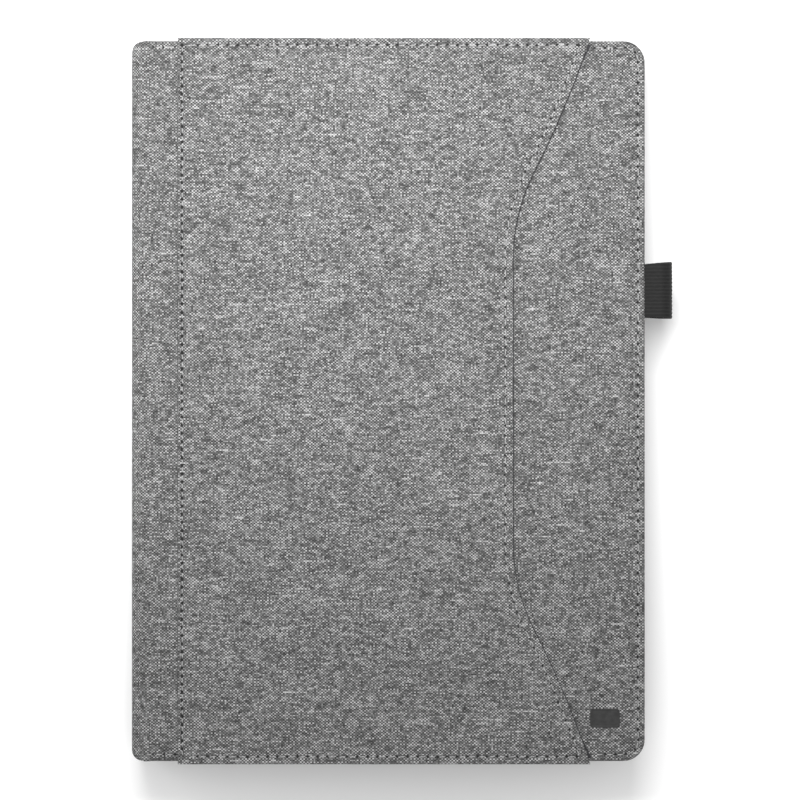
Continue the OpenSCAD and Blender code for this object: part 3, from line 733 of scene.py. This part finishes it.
def pocket():
    """The patch pocket: a sheet that is open along its curved mouth and turned down round the ends."""
    points = outline_of("pocket_panel")
    low_z, high_z = FRONT_HIGH.z, PANEL_HIGH.z
    left, end = PANEL_LOW.x, PANEL_HIGH.y
    gap, rim = 0.3 * MM, 0.42 * MM
    bm, caps = slab(points, low_z + gap, high_z, 0.12 * MM, rim)
    sewn_groove(bm, caps[1], PANEL_SEAM_IN, rim)
    rings(bm, caps[0], [(1.6 * MM, 0)])
    # The mouth's rim stands a little off the cover, most in the middle
    lift, lifted_run, flat_end = 0.45 * MM, 1.9 * MM, 5 * MM
    for v in bm.verts:
        out = v.co.x - (mouth_x(v.co.y, points) - lifted_run)
        if out > 0 and abs(v.co.y) < end - flat_end:
            v.co.z += lift * min(1.0, out / lifted_run) * math.cos(v.co.y / end * math.pi / 2) ** 0.5
    # The seam beside the spine runs closer to the edge than the others
    groove_half = 1.05 * MM
    for v in bm.verts:
        if abs(v.co.x - left - PANEL_SEAM_IN) < groove_half and v.co.z > low_z + 0.5 * MM:
            v.co.x -= PANEL_SEAM_IN - SIDE_SEAM_IN
    # Turned-under cloth closes the side by the spine and both ends, and wraps the cover's edges
    end_x = max(x for x, y in points if abs(y) > end - 0.01 * MM)
    tucked_z = low_z - 0.05 * MM
    bars = [(-FRONT_HIGH.y, FRONT_HIGH.y, left + 5 * MM, tucked_z)]
    for inner_y, right, z in (
        (FRONT_HIGH.y - 4 * MM, end_x - 1.2 * MM, tucked_z),
        (FRONT_HIGH.y - 0.1 * MM, end_x - 0.6 * MM, PANEL_LOW.z),
    ):
        bars += [(inner_y, end, right, z), (-end, -inner_y, right, z)]
    for y0, y1, right, z in bars:
        corners = [(left, y0), (right, y0), (right, y1), (left, y1)]
        absorb(bm, as_mesh(slab(corners, z, high_z - 0.25 * MM, 0.3 * MM, 0.2 * MM)[0]))
    # Cut from another part of the bale than the cover's cloth
    map_cloth(bm, lambda p: (p.x / MM + 311 + p.z / MM * 0.3, p.y / MM + 173 + p.z / MM * 0.3))
    return finish_piece(bm, "pocket_cloth", "front_cover", LINEN, "pocket_panel", slot="linen_weave")


def pocket_mouth_shade():
    """A dark sheet under the pocket's cloth, painted shade for the gap under its mouth: it shows as a dark
    hairline along the mouth.
    """
    ends_in = PANEL_HIGH.y - 2.5 * MM
    side_in = PANEL_LOW.x + 2 * MM
    grown = inset_path(outline_of("pocket_panel"), -0.3 * MM)
    points = [(max(p.x, side_in), max(-ends_in, min(ends_in, p.y))) for p in grown]
    z = FRONT_HIGH.z + 0.03 * MM
    bm, _ = slab(points, z, z + 0.2 * MM, 0, 0.06 * MM, segments=2)
    return finish_piece(bm, "pocket_mouth_shade", "front_cover", LINING, slot="microfibre_lining")


def mouth_x(y, points):
    """How far the pocket's cloth reaches at a height y."""
    reach = -1.0
    for (x0, y0), (x1, y1) in zip(points, points[1:] + points[:1]):
        if min(y0, y1) <= y <= max(y0, y1) and y0 != y1:
            reach = max(reach, x0 + (y - y0) * (x1 - x0) / (y1 - y0))
    return reach


def rotate_to(path, first):
    """Starts a closed path at the point that first() likes best."""
    start = min(range(len(path)), key=lambda i: first(path[i]))
    return path[start:] + path[:start]


def make_seams():
    """The seams on both covers, round the pocket and on the linings."""
    panel = outline_of("pocket_panel")
    # The opening side's line, between the pocket's two ends
    cover_line = inset_path(outline_of("front_outer_fabric"), SEAM_IN)
    cover_line = rotate_to(cover_line, lambda p: (p - Vector((FOLD_X, -1))).length)
    edge_y = max(p.y for p in cover_line)
    end_x = max(x for x, y in panel if abs(y) > PANEL_HIGH.y - 0.01 * MM)
    corner = [p for p in cover_line if p.x > end_x + 1.5 * MM]
    first_x = end_x + 1.6 * MM
    around = [Vector((first_x, -edge_y))] + corner + [Vector((first_x, edge_y))]
    # The pocket's own line, along its mouth, its two ends and its side by the spine
    mouth = [p for p in inset_path(panel, PANEL_SEAM_IN) if p.x > PANEL_LOW.x + 6 * MM]
    mouth = rotate_to(mouth, lambda p: p.y)
    side_x, end_y = PANEL_LOW.x + SIDE_SEAM_IN, PANEL_HIGH.y - PANEL_SEAM_IN
    top_z, panel_z = FRONT_HIGH.z - SEAM_DIP, PANEL_HIGH.z - SEAM_DIP
    fine, usual, wide = 0.42 * MM, 0.52 * MM, 0.66 * MM

    def across(x0, x1, y):
        return [[Vector((x0, s * y)), Vector((x1, s * y))] for s in (-1, 1)]

    runs = [(around, 3.9 * MM, top_z, 1, 6, usual)]
    for run in across(LOW_HINGE.x + 0.5 * MM, PANEL_LOW.x - 1 * MM, edge_y):
        runs.append((run, 3.7 * MM, top_z, 1, 6, usual))
    runs.append((mouth, 3.65 * MM, panel_z, 1, 5, fine))
    for run in across(side_x + 2 * MM, mouth[-1].x - 1 * MM, end_y):
        runs.append((run, 3.7 * MM, panel_z, 1, 6, usual))
    runs.append(([Vector((side_x, -end_y)), Vector((side_x, end_y))], 3.0 * MM, panel_z, 1, 8, wide))
    seam("front_stitching", "front_cover", runs)
    back, pitch, slant = around_back(), 3.8 * MM, 6
    seam("back_stitching", "back_cover", [
        (back, pitch, BACK_LOW.z + SEAM_DIP, -1, slant, usual),
        (back, pitch, BACK_LINING_HIGH.z - LINING_DIP, 1, slant, fine),
    ])
    inner = [(back, pitch, FRONT_LINING_LOW.z + LINING_DIP, -1, slant, fine)]
    seam("front_inner_stitching", "front_cover", inner)


def around_back():
    """The back cover's stitch line, open at the fold."""
    line = inset_path(outline_of("back_outer_fabric", (0, 0, -1)), SEAM_IN)
    edge_y = max(p.y for p in line)
    corner = [p for p in line if p.x > LOW_HINGE.x + 6 * MM]
    corner = rotate_to(corner, lambda p: p.x + (0.5 if p.y > 0 else 0))
    start = Vector((LOW_HINGE.x + 0.5 * MM, -edge_y))
    return [start] + corner + [Vector((start.x, edge_y))]


# ---------- pen loop ----------

def strip_section(line, thick):
    """The corners of a thin strip that follows an XZ line."""
    line = [Vector(p) for p in line]
    section = []
    for side in (1, -1):
        ways = [(b - a).normalized() for a, b in zip(line[:1] + line[:-1], line[1:] + line[-1:])]
        offsets = [Vector((-way.y, way.x)) * thick / 2 * side for way in ways]
        section += [p + offset for p, offset in zip(line, offsets)][::side]
    return section


def pen_loop():
    """Ribbed elastic folded into a loop, its ends caught under the cover's rim."""
    low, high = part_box("pen_loop")
    width = high.y - low.y
    r = (high.z - low.z) / 2 - ELASTIC_T / 2
    cx, cz = high.x - r - ELASTIC_T / 2, (low.z + high.z) / 2
    root_x, leave_x = FRONT_HIGH.x - 2.5 * MM, FRONT_HIGH.x + 0.6 * MM
    root_z = (FRONT_LOW.z + FRONT_HIGH.z) / 2 - 0.35 * MM
    upper, lower = root_z + ELASTIC_T / 2, root_z - ELASTIC_T / 2
    line = [(root_x, upper), (leave_x, upper)] + arc(cx, cz, r, r, 97, -97, 18)
    line += [(leave_x, lower), (root_x, lower)]
    rib_steps = 30
    ys = [low.y + width * k / rib_steps for k in range(rib_steps + 1)]
    bm = swept(strip_section(line, ELASTIC_T), ys)
    bm.normal_update()
    rib, groove, edge = 0.1 * MM, -0.05 * MM, -0.2 * MM
    flare_up, flare_down = 0.9 * MM, 0.3 * MM
    for v in bm.verts:
        t = (v.co.y - low.y) / width
        step = round(t * rib_steps)
        out = Vector((v.normal.x, 0, v.normal.z)).normalized()
        v.co += out * (edge if step in (0, rib_steps) else rib if step % 2 else groove)
        # The band spreads towards its fold
        flare = max(0.0, v.co.x - FRONT_HIGH.x) / (high.x - FRONT_HIGH.x)
        v.co.y += flare * (flare_up * t - flare_down * (1 - t))
    return finish_piece(
        bm, "pen_loop_band", "front_cover", ELASTIC, "pen_loop", slot="elastic_band", angle=70,
    )


# ---------- mark ----------

def front_label():
    """A plain pressed label in place of any mark, with a raised rim."""
    low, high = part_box("front_mark")
    bm, caps = slab(
        outline_of("front_mark"), low.z - 0.1 * MM, high.z + 0.05 * MM, 0, 0.12 * MM, segments=3,
    )
    rings(bm, caps[1], [(0.45 * MM, 0), (0.15 * MM, -0.12 * MM), (0.3 * MM, 0), (0.15 * MM, 0.1 * MM)])
    return finish_piece(bm, "front_label", "front_cover", LABEL, "front_mark", slot="printed_mark")


# ---------- hard pieces ----------

def on_rim(edge, low, high):
    """Says whether an edge lies on the outer sides of a box."""
    sides = [(axis, corner[axis]) for axis in (0, 1) for corner in (low, high)]
    return any(all(abs(v.co[axis] - side) < 0.1 * MM for v in edge.verts) for axis, side in sides)


def softened(node, body, material, width, slot, rim_only):
    """A CAD node's shape with its sharp edges rounded, or only those of its outer sides."""
    bm = merged(node) if rim_only else flattened(node)
    bm.normal_update()
    low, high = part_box(node)
    sharp = [
        e for e in bm.edges
        if len(e.link_faces) == 2 and e.calc_face_angle(0) > math.radians(40)
        and (not rim_only or on_rim(e, low, high))
    ]
    bevel(bm, sharp, width, 2)
    bmesh.ops.recalc_face_normals(bm, faces=bm.faces)
    return finish_piece(bm, node + "_finished", body, material, node, slot=slot, angle=35)


def hard_pieces():
    """The moulded and metal pieces: node, body, material, rounding in mm, slot."""
    made = [
        ("keyboard_frame", "front_cover", CASE_PLASTIC, 0.3, "moulded_case"),
        ("keyboard_tray", "front_cover", CASE_PLASTIC, 0.35, "moulded_case"),
        ("tablet_plate", "tablet_holder", CASE_PLASTIC, 0.35, "moulded_case"),
        ("lower_hooks", "tablet_holder", CASE_PLASTIC, 0.45, "moulded_case"),
        ("upper_hooks", "clamp", CASE_PLASTIC, 0.45, "moulded_case"),
        ("stand_leg", "stand_leg", CASE_PLASTIC, 0.35, "moulded_case"),
        ("clamp_slider", "clamp", STEEL, 0.15, "stamped_steel"),
        ("grip_pads", "tablet_holder", SILICONE, 0.2, "silicone_grip"),
        ("plate_lining", "tablet_holder", LINING, 0.2, "microfibre_lining"),
        ("power_switch", "power_switch", CONTROL_PLASTIC, 0.35, "control_plastic"),
        ("connect_button", "connect_button", CONTROL_PLASTIC, 0.25, "control_plastic"),
        ("charge_socket", "front_cover", PLATED, 0.08, "socket_steel"),
    ]
    for node, body, material, width, slot in made:
        # Only the rims of these two are rounded: their many keyholes stay sharp
        softened(node, body, material, width * MM, slot, node in ("keyboard_frame", "keyboard_tray"))


# ---------- keycaps ----------

LEGENDS = {
    "space_bar": [""], "enter_key": ["enter"], "backspace_key": ["back"], "tab_key": ["tab"],
    "caps_key": ["caps"], "left_shift_key": ["shift"], "right_shift_key": ["shift"],
    "escape_key": ["esc"], "arrow_up_key": ["^"], "arrow_left_key": ["<"],
    "arrow_down_key": ["v"], "arrow_right_key": [">"],
    "function_keys": ["F%d" % i for i in range(1, 13)] + ["del"],
    "number_keys": list("1234567890-="), "top_row_keys": list("QWERTYUIOP[]\\"),
    "home_row_keys": list("ASDFGHJKL;'"), "bottom_row_keys": list("ZXCVBNM,./"),
    "modifier_keys": ["ctrl", "fn", "opt", "alt", "alt", "`"],
}


def key_boxes(node):
    """The box of each separate keycap in a node, in order from the Esc side."""
    bm = merged(node)
    left = set(bm.verts)
    boxes = []
    while left:
        group, queue = [], [left.pop()]
        while queue:
            v = queue.pop()
            group.append(v.co.copy())
            for e in v.link_edges:
                other = e.other_vert(v)
                if other in left:
                    left.discard(other)
                    queue.append(other)
        low = Vector([min(c[i] for c in group) for i in range(3)])
        high = Vector([max(c[i] for c in group) for i in range(3)])
        boxes.append((low, high))
    bm.free()
    return sorted(boxes, key=lambda b: -b[0].y)


def rounded_outline(low, high, r, steps=3):
    """A rectangle's outline with round corners."""
    corners = (
        (high.x - r, high.y - r, 0), (low.x + r, high.y - r, 90),
        (low.x + r, low.y + r, 180), (high.x - r, low.y + r, 270),
    )
    return [p for cx, cy, start in corners for p in arc(cx, cy, r, r, start, start + 90, steps)]


def keycap(bm, low, high):
    """Adds a keycap facing down: tapered skirt, rounded shoulders, a shallow dish and a hollow back."""
    skirt_z, hollow_z = low.z + 2.7 * MM, low.z + 1.0 * MM
    taper = 0.7 * MM
    part = bmesh.new()
    outline = rounded_outline(low, high, 1.6 * MM)
    face = part.faces.new([part.verts.new((x, y, skirt_z)) for x, y in outline])
    top = extruded(part, face, (0, 0, low.z - skirt_z))
    middle, size = (low + high) / 2, high - low
    bmesh.ops.scale(
        part, verts=list(top.verts), vec=(1 - taper / size.x, 1 - taper / size.y, 1),
        space=Matrix.Translation((-middle.x, -middle.y, 0)),
    )
    bevel(part, list(top.edges), 0.45 * MM)
    part.normal_update()
    bmesh.ops.recalc_face_normals(part, faces=part.faces)
    cap = max((f for f in part.faces if f.normal.z < -0.99), key=lambda f: f.calc_area())
    rings(part, cap, [(0.35 * MM, -0.02 * MM), (0.35 * MM, -0.05 * MM), (0.3 * MM, -0.04 * MM)])
    hollow = max((f for f in part.faces if f.normal.z > 0.99), key=lambda f: f.calc_area())
    rings(part, hollow, [(0.8 * MM, 0), (0.01 * MM, hollow_z - skirt_z)])
    absorb(bm, as_mesh(part))


def legend(text, low, high):
    """A printed legend on a keycap, as a thin raised mesh facing down."""
    small = len(text) > 1
    curve = bpy.data.curves.new("legend", "FONT")
    curve.body = text
    curve.size = (2.6 if small else 4.4) * MM
    curve.extrude = 0.02 * MM
    curve.resolution_u = 2
    curve.align_x, curve.align_y = "CENTER", "CENTER"
    text_object = bpy.data.objects.new("legend", curve)
    bpy.context.scene.collection.objects.link(text_object)
    bpy.context.view_layer.update()
    mesh = bpy.data.meshes.new_from_object(text_object)
    bpy.data.objects.remove(text_object)
    bpy.data.curves.remove(curve)
    # The reader sits past the opening edge and looks at the keys from below
    turn = Matrix(((0, -1, 0, 0), (-1, 0, 0, 0), (0, 0, -1, 0), (0, 0, 0, 1)))
    middle = (low + high) / 2
    mesh.transform(Matrix.Translation((middle.x, middle.y, low.z + 0.1 * MM)) @ turn)
    return mesh


def make_keys():
    """Each node's keycaps as one piece, and their printed legends as another."""
    for node, texts in LEGENDS.items():
        bm = bmesh.new()
        words = bmesh.new()
        for (low, high), text in zip(key_boxes(node), texts):
            keycap(bm, low, high)
            if text:
                absorb(words, legend(text, low, high))
        finish_piece(bm, node + "_caps", node, CAP_PLASTIC, node, slot="keycap_plastic")
        if words.verts:
            finish_piece(words, node + "_legends", node, LEGEND_INK, slot="keycap_plastic")
        else:
            words.free()


# ---------- tapes and springs ----------

def tape(name, line, y_half, thick, node):
    """A cloth hinge tape that follows an XZ line."""
    steps = 8
    ys = [y_half * (2 * k / steps - 1) for k in range(steps + 1)]
    bm = swept(strip_section(line, thick), ys)
    piece = finish_piece(bm, name, None, TAPE, node, slot="hinge_tape", angle=60)
    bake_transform(piece)


def make_tapes():
    """The plate's and the leg's hinge tapes."""
    low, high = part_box("plate_hinge_tape")
    pivot = Vector(JOINTS["plate_tilt"]["pos_m"])
    thick = 0.22 * MM
    low_z, high_z = low.z + thick / 2, high.z - thick / 2
    turn_x, turn_z = 1.2 * MM, 0.9 * MM
    line = [(low.x, low_z), (pivot.x - 2 * MM, low_z)]
    line += arc(pivot.x - 2 * MM, low_z + turn_z, turn_x, turn_z, 270, 360, 4)[1:]
    line += [(pivot.x - 0.2 * MM, high.z - 0.3 * MM), (pivot.x + 0.8 * MM, high_z)]
    line += [(pivot.x + k * 1.5 * MM, high_z) for k in range(1, 7)]
    tape("plate_tape", line, high.y, thick, "plate_hinge_tape")
    low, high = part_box("leg_hinge_tape")
    pivot = Vector(JOINTS["leg_fold"]["pos_m"])
    count = 24
    line = [(low.x + (high.x - low.x) * i / count, (low.z + high.z) / 2) for i in range(count + 1)]
    tape("leg_tape", line, high.y, 0.16 * MM, "leg_hinge_tape")


def spring_wires():
    """The clamp's springs, stretched between the plate and the slider."""
    piece = finish_piece(
        flattened("clamp_springs"), "clamp_spring_wires", None, PLATED, "clamp_springs",
        slot="spring_wire", angle=80,
    )
    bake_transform(piece)


# ---------- materials of the CAD pieces that stay ----------

def dress_cad():
    """Gives each CAD node that stays in view its material."""
    for node, material in {
        "back_board": GREYBOARD, "front_board": GREYBOARD, "spine_board": GREYBOARD,
        "stand_magnets": PLATED, "leg_magnets": PLATED, "adhesive_pads": FOAM_TAPE,
        "support_plate": STEEL, "membrane_circuit": FILM, "dome_sheet": DOMES,
        "controller_board": SOLDER_MASK, "battery": FOIL, "status_lights": ACRYLIC,
        "case_screws": PLATED,
    }.items():
        mesh = frame["nodes"][node].data
        mesh.materials.clear()
        mesh.materials.append(material)


# ---------- stage ----------

def area_light(name, place, look_at, size, power):
    """A soft light that the camera doesn't see."""
    data = bpy.data.lights.new(name, "AREA")
    data.shape = "RECTANGLE"
    data.size, data.size_y = size
    data.energy = power
    lamp = bpy.data.objects.new(name, data)
    lamp.location = place
    lamp.visible_camera = False
    lamp.rotation_euler = (Vector(look_at) - Vector(place)).to_track_quat("-Z", "Y").to_euler()
    bpy.context.scene.collection.objects.link(lamp)


def make_stage():
    """A white floor, an even white surround and two soft lights."""
    floor_material, tree = new_material("studio_floor")
    surface(tree, Base_Color=linear("#fbfbfb"), Roughness=0.9)
    bm = bmesh.new()
    bmesh.ops.create_grid(bm, x_segments=1, y_segments=1, size=3.0)
    mesh = as_mesh(bm, "studio_floor")
    mesh.materials.append(floor_material)
    floor = bpy.data.objects.new("studio_floor", mesh)
    floor.location.z = -0.05 * MM
    bpy.context.scene.collection.objects.link(floor)
    world = bpy.data.worlds.new("studio")
    world.use_nodes = True
    background = world.node_tree.nodes["Background"]
    background.inputs["Color"].default_value = (1, 1, 1, 1)
    background.inputs["Strength"].default_value = 0.8
    bpy.context.scene.world = world
    area_light("top_softbox", (-0.02, 0.14, 0.3), (-0.02, 0.1, 0), (0.3, 0.2), 2.0)
    area_light("side_softbox", (-0.8, 0.2, 0.45), (0, 0, 0), (0.6, 0.4), 1.6)
    bpy.context.scene.view_settings.view_transform = "Standard"


def make_camera():
    # Straight above the front cover, far enough for the case to fill the frame
    data = bpy.data.cameras.new("camera")
    data.lens = 135
    camera = bpy.data.objects.new("camera", data)
    view_height = 0.2975
    distance = view_height * data.lens / data.sensor_width
    camera.location = (4.4 * MM, 0.4 * MM, FRONT_HIGH.z + distance)
    bpy.context.scene.collection.objects.link(camera)
    bpy.context.scene.camera = camera


def declare_sheets():
    """Works out the pocket panel's cut size, as its mean width and its length along Y, and keeps nothing."""
    panel_y = PANEL_HIGH.y - PANEL_LOW.y
    panel = (signed_area(outline_of("pocket_panel")) / panel_y, panel_y)


make_camera()
make_stage()
cover("front_cover_cloth", "front_cover", "front_outer_fabric", 1)
cover("back_cover_cloth", "back_cover", "back_outer_fabric", -1)
make_folds()
lining("front_lining_cloth", "front_cover", "front_lining", -1)
lining("back_lining_cloth", "back_cover", "back_lining", 1)
pocket()
pocket_mouth_shade()
make_seams()
pen_loop()
front_label()
hard_pieces()
make_keys()
make_tapes()
spring_wires()
dress_cad()

declare_sheets()
